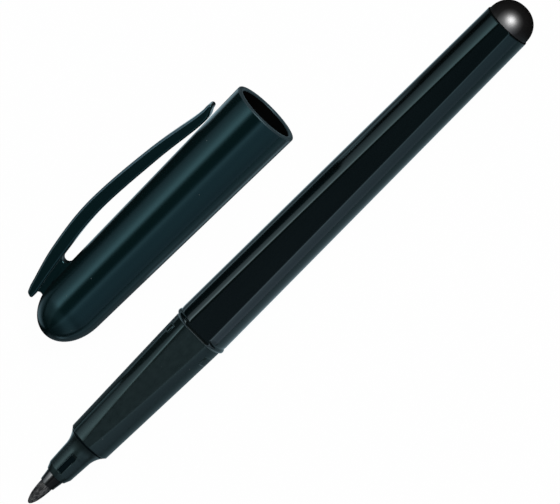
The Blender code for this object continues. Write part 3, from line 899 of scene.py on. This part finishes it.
def web_outline():
    """Side view of the web between the strip and the cap, with a hollow end under the strip."""
    front_foot = above_cap(CLIP_FOOT_FRONT, 0.0)
    front_top = above_cap(CLIP_FOOT_FRONT, CLIP_FRONT_EDGES[0])
    hollow = reversed(half_round(front_top, front_foot))
    rear_foot = above_cap(WEB_REAR, -WEB_REAR_SINK)
    rear_top = above_cap(WEB_REAR, CLIP_TAIL_EDGES[0] + WEB_SINK)
    notch = reversed(half_round(rear_foot, rear_top))
    return [
        rear_foot,
        above_cap(CLIP_FOOT_FRONT, -WEB_SINK),
        front_foot,
        *hollow,
        front_top,
        above_cap(CLIP_FOOT_FRONT, sum(CLIP_FRONT_EDGES) / 2),
        above_cap(CLIP_FOOT_REAR, sum(CLIP_REAR_EDGES) / 2),
        above_cap(WEB_REAR, sum(CLIP_TAIL_EDGES) / 2),
        rear_top,
        *notch,
    ]


def make_clip(finish, edge):
    """Strip and web of the clip, one moulding; the cap doesn't mirror it."""
    start = CAP @ Vector((-CLIP_FOOT_FRONT, 0.0, 0.0))
    end = CAP @ Vector((-CLIP_FOOT_FRONT + CLIP_FLEX_LENGTH, 0.0, 0.0))
    shape = slab(clip_outline(), CLIP_WIDTH, CLIP_ROUND)
    # The rounds of the strip's outer edge get a painted highlight, a paler colour for the light line along it.
    for face in shape.faces:
        face.material_index = int(face.normal.y > EDGE_FACING and abs(face.normal.z) > EDGE_FACING)
    strip = add_piece("clip_strip", shape, CAP, [finish, edge])
    stem = slab(web_outline(), CLIP_WEB_WIDTH, WEB_ROUND)
    web = add_piece("clip_web", stem, CAP, [finish])
    strip.visible_glossy = False
    web.visible_glossy = False
    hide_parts("pocket_clip")
    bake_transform(strip)
    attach(web, "cap")


def new_finish(name, colour, roughness, specular=0.5, tint=(1.0, 1.0, 1.0)):
    """A material with its even values set; returns it, its nodes, its shader and its coordinates."""
    finish = bpy.data.materials.new(name)
    finish.use_nodes = True
    tree = finish.node_tree
    shader = tree.nodes["Principled BSDF"]
    shader.inputs["Base Color"].default_value = (*colour, 1.0)
    shader.inputs["Roughness"].default_value = roughness
    shader.inputs["Specular IOR Level"].default_value = specular
    shader.inputs["Specular Tint"].default_value = (*tint, 1.0)
    place = Wire.node(tree, 'ShaderNodeTexCoord', {}, {}, "Object")
    return finish, tree, shader, place


def grain(tree, place, size, detail=2.0, stretch=(1.0, 1.0, 1.0)):
    """Even noise around 0.5 with lumps of a size in metres, stretched along the pen if wanted."""
    scale = tuple(1 / (size * factor) for factor in stretch)
    turned_place = Wire.node(tree, 'ShaderNodeMapping', {}, {"Vector": place, "Scale": scale})
    inputs = {"Vector": turned_place, "Scale": 1.0, "Detail": detail}
    return Wire.node(tree, 'ShaderNodeTexNoise', {}, inputs, "Fac")


def specks(tree, place, cell, size):
    """Sparse round specks: 1 inside one, 0 elsewhere."""
    inputs = {"Vector": place, "Scale": 1 / cell}
    distance = Wire.node(tree, 'ShaderNodeTexVoronoi', {}, inputs, "Distance")
    return distance < size / cell


def tinted(tree, share, colour, other):
    """A colour that runs to another by a share."""
    inputs = {MIX_FACTOR: share, MIX_A: (*colour, 1.0), MIX_B: (*other, 1.0)}
    return Wire.node(tree, 'ShaderNodeMix', {"data_type": 'RGBA'}, inputs, MIX_COLOUR)


def mixed(tree, share, wire, colour):
    """A wired colour that gives way to an even one by a share."""
    inputs = {MIX_FACTOR: share, MIX_A: wire, MIX_B: (*colour, 1.0)}
    return Wire.node(tree, 'ShaderNodeMix', {"data_type": 'RGBA'}, inputs, MIX_COLOUR)


def bump(tree, height, distance, strength):
    inputs = {"Height": height, "Distance": distance, "Strength": strength}
    return Wire.node(tree, 'ShaderNodeBump', {}, inputs)


def axes(tree, wire):
    """The three parts of a wired vector."""
    split = tree.nodes.new('ShaderNodeSeparateXYZ')
    tree.links.new(wire.socket, split.inputs[0])
    return [Wire(output) for output in split.outputs]


def spread(tree, wire, limit, pairs):
    """A grey value by a wired one, from pairs of both; the wired one lies within a limit of 0."""
    stops = [((place / limit + 1) / 2, value) for place, value in pairs]
    return Wire.node(tree, 'ShaderNodeValToRGB', {"stops": stops}, {"Fac": wire * (0.5 / limit) + 0.5})


def by_side(tree, place, pairs):
    """A grey value by the distance from the pen's axis towards the cap, from pairs of both in mm."""
    aside = axes(tree, place)[1] - PEN.translation.y
    return spread(tree, aside * (1 / MM), SIDE_REACH, pairs)


def link(tree, wire, shader, socket):
    tree.links.new(wire.socket, shader.inputs[socket])


def moulded(name, colour, other, roughness, tint):
    """Glossy moulded plastic: cloudy pigment, faint drawing lines, a fine peel and a little dust."""
    finish, tree, shader, place = new_finish(name, colour, roughness, tint=tint)
    cloud = grain(tree, place, 4 * MM, 3.0, (4.0, 1.0, 1.0))
    lines = grain(tree, place, 0.12 * MM, 2.0, (60.0, 1.0, 1.0))
    peel = grain(tree, place, 0.5 * MM, 1.0)
    dust = specks(tree, place, 3.2 * MM, 0.09 * MM)
    pigment = tinted(tree, cloud, colour, other)
    link(tree, mixed(tree, dust, pigment, DUST_COLOUR), shader, "Base Color")
    rough = roughness + 0.06 * (cloud - 0.5) + 0.05 * (lines - 0.5) + 0.4 * dust
    link(tree, rough, shader, "Roughness")
    link(tree, bump(tree, 0.25 * lines + peel + 2.0 * dust, 0.002 * MM, 0.35), shader, "Normal")
    return finish, tree, shader, place


def gloss_barrel():
    """Blue-black, with a clear gloss that is strongest at the front."""
    colour = (0.0007, 0.0016, 0.0016)
    other = (0.0013, 0.0025, 0.0025)
    tint = (0.50, 0.94, 1.0)
    finish, tree, shader, place = moulded("gloss_barrel", colour, other, BARREL_GLOSS, tint)
    front = (PEN @ Vector((LIP_FRONT, 0.0, 0.0))).x
    share = (axes(tree, place)[0] - front) * (1 / (BARREL_REAR - LIP_FRONT))
    link(tree, COAT_FRONT - (COAT_FRONT - COAT_REAR) * share, shader, "Coat Weight")
    shader.inputs["Coat Roughness"].default_value = BARREL_GLOSS
    return finish


def gloss_cap():
    """Dark teal."""
    colour = (0.0014, 0.0064, 0.0068)
    other = (0.0022, 0.0090, 0.0096)
    return moulded("gloss_cap", colour, other, 0.17, (0.40, 0.88, 1.0))[0]


def rim_painted_highlight():
    """The cap's plastic at its rim: rubbed dull, and painted paler as a painted highlight."""
    colour = (0.0180, 0.0300, 0.0360)
    other = (0.0240, 0.0380, 0.0440)
    return moulded("rim_painted_highlight", colour, other, 0.5, (0.60, 0.92, 1.0))[0]


def clip_edge_painted_highlight():
    """The cap's plastic along the clip's outer edge, with a painted highlight that grows paler towards its tip."""
    colour = (0.0050, 0.0120, 0.0140)
    finish, tree, shader, place = new_finish("clip_edge_painted_highlight", colour, 0.4, 0.5, (0.60, 0.92, 1.0))
    highlight_share = spread(tree, axes(tree, place)[0] * (1 / MM), PLACE_REACH, EDGE_PAINTED_HIGHLIGHT)
    patches = grain(tree, place, 0.8 * MM, 3.0, (3.0, 1.0, 1.0))
    share = highlight_share * (0.7 + 0.6 * patches)
    link(tree, tinted(tree, share, colour, (0.050, 0.090, 0.112)), shader, "Base Color")
    link(tree, 0.30 + 0.2 * patches, shader, "Roughness")
    link(tree, bump(tree, patches, 0.004 * MM, 0.3), shader, "Normal")
    return finish


def matte_grip():
    """Plastic from a finely eroded mould: mottled, with a small tooth, but smooth on one side."""
    colour = (0.0028, 0.0054, 0.0052)
    finish, tree, shader, place = new_finish("matte_grip", colour, 0.3, 0.7, (0.62, 0.96, 1.0))
    polish = by_side(tree, place, GRIP_POLISH)
    tooth = grain(tree, place, 0.12 * MM, 2.0)
    mottle = grain(tree, place, 0.9 * MM, 4.0, (1.6, 1.0, 1.0))
    dust = specks(tree, place, 3.0 * MM, 0.09 * MM)
    pigment = tinted(tree, mottle, colour, (0.0066, 0.0106, 0.0104))
    link(tree, mixed(tree, dust, pigment, DUST_COLOUR), shader, "Base Color")
    rough = 0.20 + 0.08 * tooth + 0.14 * mottle + 0.3 * dust
    link(tree, rough + polish * (GRIP_GLOSS - rough), shader, "Roughness")
    height = (0.6 * tooth + 1.5 * mottle) * (1 - 0.8 * polish)
    link(tree, bump(tree, height, 0.008 * MM, 0.35), shader, "Normal")
    return finish


def lip_painted_highlight():
    """Moulded edge painted a little paler than the plastic around it, as a painted highlight."""
    colour = (0.012, 0.015, 0.0155)
    finish, tree, shader, place = new_finish("lip_painted_highlight", colour, 0.4, 0.5, (0.72, 0.97, 1.0))
    highlight_share = grain(tree, place, 0.6 * MM, 3.0)
    link(tree, tinted(tree, highlight_share, colour, (0.030, 0.034, 0.035)), shader, "Base Color")
    link(tree, 0.35 + 0.2 * highlight_share, shader, "Roughness")
    link(tree, bump(tree, highlight_share, 0.004 * MM, 0.3), shader, "Normal")
    return finish


def painted_recess_shade(name, colour, other):
    """Painted shade: a rough near-black colour for the inside of a recess that little light comes out of."""
    finish, tree, shader, place = new_finish(name, colour, 0.8, 0.04)
    tooth = grain(tree, place, 0.2 * MM, 3.0)
    link(tree, tinted(tree, tooth, colour, other), shader, "Base Color")
    link(tree, 0.7 + 0.2 * tooth, shader, "Roughness")
    link(tree, bump(tree, tooth, 0.01 * MM, 0.4), shader, "Normal")
    return finish


def satin_holder():
    """Turned satin black, with rings around its axis and a side polished by the cap's seal."""
    colour = (0.0040, 0.0040, 0.0041)
    finish, tree, shader, place = new_finish("satin_holder", colour, 0.24, 0.2)
    rings = grain(tree, place, 0.05 * MM, 2.0, (1.0, 40.0, 40.0))
    link(tree, tinted(tree, rings, colour, (0.0064, 0.0064, 0.0065)), shader, "Base Color")
    link(tree, 0.20 + 0.08 * rings, shader, "Roughness")
    link(tree, bump(tree, rings, 0.004 * MM, 0.4), shader, "Normal")
    link(tree, by_side(tree, place, HOLDER_POLISH), shader, "Coat Weight")
    shader.inputs["Coat IOR"].default_value = HOLDER_IOR
    shader.inputs["Coat Roughness"].default_value = HOLDER_GLOSS
    return finish


def inked_fibre():
    """Bonded fibre, dark with ink, with pale dry threads along it."""
    colour = (0.0100, 0.0102, 0.0108)
    finish, tree, shader, place = new_finish("inked_fibre", colour, 0.62)
    threads = grain(tree, place, 0.16 * MM, 4.0, (5.0, 1.0, 1.0))
    patches = grain(tree, place, 0.7 * MM, 3.0, (2.0, 1.0, 1.0))
    dry = Wire.node(tree, 'ShaderNodeValToRGB', {"stops": ((0.46, 0.0), (0.62, 1.0))},
                    {"Fac": 0.6 * threads + 0.4 * patches})
    link(tree, tinted(tree, dry, colour, (0.125, 0.125, 0.122)), shader, "Base Color")
    link(tree, 0.50 + 0.35 * dry, shader, "Roughness")
    link(tree, bump(tree, threads + 0.5 * patches, 0.05 * MM, 0.7), shader, "Normal")
    return finish


def polished_plug():
    """Satin black, with a polished crown in which a lamp shows as a wide soft glow."""
    colour = (0.0034, 0.0030, 0.0030)
    finish, tree, shader, place = new_finish("polished_plug", colour, 0.48)
    crown = PEN @ Vector((PLUG_BASE + CROWN_PLACE, CROWN_ASIDE, PLUG_RADIUS))
    inputs = {0: place, 1: crown}
    away = Wire.node(tree, 'ShaderNodeVectorMath', {"operation": 'DISTANCE'}, inputs, "Value")
    polish = Wire.node(tree, 'ShaderNodeValToRGB', {"stops": ((0.0, 1.0), (0.35, 0.95), (1.0, 0.0))},
                       {"Fac": away * (1 / CROWN_REACH)})
    link(tree, polish, shader, "Coat Weight")
    shader.inputs["Coat IOR"].default_value = CROWN_IOR
    shader.inputs["Coat Roughness"].default_value = CROWN_ROUGHNESS
    cloud = grain(tree, place, 1.5 * MM, 2.0)
    dust = specks(tree, place, 2.6 * MM, 0.06 * MM)
    link(tree, tinted(tree, cloud, colour, (0.0046, 0.0042, 0.0042)), shader, "Base Color")
    link(tree, 0.46 + 0.04 * cloud + 0.1 * dust, shader, "Roughness")
    link(tree, bump(tree, cloud + dust, 0.003 * MM, 0.3), shader, "Normal")
    return finish


def soft_seal():
    """Soft natural plastic, a little waxy and cloudy."""
    colour = (0.26, 0.27, 0.27)
    finish, tree, shader, place = new_finish("soft_seal", colour, 0.55, 0.4)
    cloud = grain(tree, place, 1.2 * MM, 3.0)
    link(tree, tinted(tree, cloud, colour, (0.34, 0.35, 0.35)), shader, "Base Color")
    link(tree, 0.48 + 0.14 * cloud, shader, "Roughness")
    link(tree, bump(tree, cloud, 0.01 * MM, 0.4), shader, "Normal")
    return finish


def soaked_core():
    """Fibre core of the ink store, drenched with ink."""
    colour = (0.008, 0.008, 0.010)
    finish, tree, shader, place = new_finish("soaked_core", colour, 0.7, 0.4)
    threads = grain(tree, place, 0.2 * MM, 4.0, (12.0, 1.0, 1.0))
    link(tree, tinted(tree, threads, colour, (0.030, 0.030, 0.034)), shader, "Base Color")
    link(tree, 0.55 + 0.3 * threads, shader, "Roughness")
    link(tree, bump(tree, threads, 0.04 * MM, 0.6), shader, "Normal")
    return finish


def wrapped_film():
    """Thin pale film drawn round the core, with faint creases along it."""
    colour = (0.52, 0.54, 0.54)
    finish, tree, shader, place = new_finish("wrapped_film", colour, 0.22)
    creases = grain(tree, place, 0.5 * MM, 3.0, (20.0, 1.0, 1.0))
    link(tree, tinted(tree, creases, colour, (0.66, 0.68, 0.68)), shader, "Base Color")
    link(tree, 0.16 + 0.14 * creases, shader, "Roughness")
    link(tree, bump(tree, creases, 0.02 * MM, 0.5), shader, "Normal")
    return finish


def dress_node(node, finish):
    """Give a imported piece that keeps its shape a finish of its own."""
    packed = frame["nodes"][node]
    packed.visible_glossy = False
    packed.data.materials.clear()
    packed.data.materials.append(finish)


def ray(tree, kind):
    """1 for the rays of one kind, such as those from the eye, and 0 for others."""
    return Wire.node(tree, 'ShaderNodeLightPath', {}, {}, kind)


def make_floor():
    """Pale floor, white to the eye with a little shadow; gloss shows cards on it."""
    shape = bmesh.new()
    bmesh.ops.create_grid(shape, x_segments=1, y_segments=1, size=FLOOR_SIZE / 2,
                          matrix=Matrix.Translation((0.0, 0.0, -FLOOR_DROP)))
    mesh = bpy.data.meshes.new("floor")
    shape.to_mesh(mesh)
    shape.free()
    finish = bpy.data.materials.new("pale_floor")
    finish.use_nodes = True
    tree = finish.node_tree
    tree.nodes.clear()
    place = Wire.node(tree, 'ShaderNodeTexCoord', {}, {}, "Object")
    along, across, _ = axes(tree, place)
    card = 0.0
    for lengthways, sideways in CARDS:
        length = spread(tree, along * (1 / MM), PLACE_REACH, lengthways)
        card = card + length * spread(tree, across * (1 / MM), PLACE_REACH, sideways)
    eye = ray(tree, "Is Camera Ray")
    gloss = ray(tree, "Is Glossy Ray") + ray(tree, "Is Transmission Ray")
    colour = tinted(tree, eye, CARD_TINT, (1.0, 1.0, 1.0))
    pale = (FLOOR_PALE, FLOOR_PALE, FLOOR_PALE, 1.0)
    matte = Wire.node(tree, 'ShaderNodeBsdfDiffuse', {}, {"Color": pale})
    white = Wire.node(tree, 'ShaderNodeEmission', {}, {"Color": colour, "Strength": eye + gloss * card})
    inputs = {0: (eye + gloss) * FLOOR_WHITE, 1: matte, 2: white}
    shown = Wire.node(tree, 'ShaderNodeMixShader', {}, inputs)
    output = tree.nodes.new('ShaderNodeOutputMaterial')
    tree.links.new(shown.socket, output.inputs["Surface"])
    mesh.materials.append(finish)
    floor = bpy.data.objects.new("floor", mesh)
    bpy.context.scene.collection.objects.link(floor)


def make_studio():
    """Surroundings that are white to the eye, and light the pair by the angle from overhead."""
    world = bpy.data.worlds.new("studio")
    bpy.context.scene.world = world
    world.use_nodes = True
    tree = world.node_tree
    tree.nodes.clear()
    direction = Wire.node(tree, 'ShaderNodeTexCoord', {}, {}, "Generated")
    along, across, up = axes(tree, direction)
    angle = across.math('ARCTAN2', across, up) * (1 / math.pi) + 0.5
    around = [((degrees + 90) / 180, colour) for degrees, colour in STUDIO]
    near, far = (spread(tree, along, 1.0, ends) for ends in (CAP_SIDE_ENDS, FAR_SIDE_ENDS))
    colour = Wire.node(tree, 'ShaderNodeValToRGB', {"stops": around}, {"Fac": angle})
    share = far + (near - far) * (angle > 0.5)
    light = Wire.node(tree, 'ShaderNodeBackground', {}, {"Color": colour, "Strength": share})
    ahead = spread(tree, along, 1.0, FILL_ENDS)
    fill = Wire.node(tree, 'ShaderNodeBackground', {}, {"Color": FILL_COLOUR, "Strength": ahead})
    both = Wire.node(tree, 'ShaderNodeAddShader', {}, {0: light, 1: fill})
    white = Wire.node(tree, 'ShaderNodeBackground', {}, {"Color": (1.0, 1.0, 1.0, 1.0), "Strength": 1.0})
    inputs = {0: ray(tree, "Is Camera Ray"), 1: both, 2: white}
    shown = Wire.node(tree, 'ShaderNodeMixShader', {}, inputs)
    output = tree.nodes.new('ShaderNodeOutputWorld')
    tree.links.new(shown.socket, output.inputs["Surface"])


def make_key():
    """A round soft lamp over the rear of the pen."""
    lamp = bpy.data.lights.new("key", 'AREA')
    lamp.shape = 'DISK'
    lamp.size = KEY_SIZE
    lamp.energy = KEY_POWER
    key = bpy.data.objects.new("key", lamp)
    bpy.context.scene.collection.objects.link(key)
    towards = Vector((math.sin(KEY_TILT), math.sin(KEY_ASIDE), math.cos(KEY_TILT))).normalized()
    key.location = KEY_DISTANCE * towards
    key.rotation_euler = towards.to_track_quat('Z', 'Y').to_euler()
    key.visible_camera = False


def make_camera():
    """A long lens over the pair, tilted towards the rear so that the cap's mouth shows."""
    back = Vector((math.sin(CAMERA_TILT), 0.0, math.cos(CAMERA_TILT)))
    along = Vector((math.cos(CAMERA_TILT), 0.0, -math.sin(CAMERA_TILT)))
    across = Vector((0.0, 1.0, 0.0))
    right = math.cos(CAMERA_TURN) * along - math.sin(CAMERA_TURN) * across
    up = math.sin(CAMERA_TURN) * along + math.cos(CAMERA_TURN) * across
    width = IMAGE_WIDTH * PIXEL * math.cos(CAMERA_TILT)
    lens = bpy.data.cameras.new("camera")
    lens.lens = CAMERA_LENS
    lens.sensor_width = SENSOR_WIDTH
    camera = bpy.data.objects.new("camera", lens)
    bpy.context.scene.collection.objects.link(camera)
    place = PEN @ Vector(CAMERA_AIM) + back * width * CAMERA_LENS / SENSOR_WIDTH
    turn = Matrix((right, up, back)).transposed().to_4x4()
    camera.matrix_world = Matrix.Translation(place) @ turn
    bpy.context.scene.camera = camera


def main():
    bpy.context.scene.view_settings.view_transform = 'Standard'
    cap_plastic = gloss_cap()
    make_barrel(gloss_barrel(), lip_painted_highlight())
    # Painted shade for the vent's floor and the crease in front of the grip
    vent = painted_recess_shade("vent_painted_shade", (0.0010, 0.0040, 0.0054), (0.0016, 0.0056, 0.0074))
    make_grip(matte_grip(), vent)
    make_holder(satin_holder())
    make_nib(inked_fibre())
    make_plug(polished_plug())
    # Painted shade for the cap's inside
    bore = painted_recess_shade("cap_painted_shade", (0.0002, 0.0003, 0.0003), (0.0005, 0.0007, 0.0007))
    make_cap(cap_plastic, bore, rim_painted_highlight())
    make_seal(soft_seal())
    make_clip(cap_plastic, clip_edge_painted_highlight())
    dress_node("ink_reservoir", soaked_core())
    dress_node("reservoir_film", wrapped_film())
    make_floor()
    make_studio()
    make_key()
    make_camera()


main()
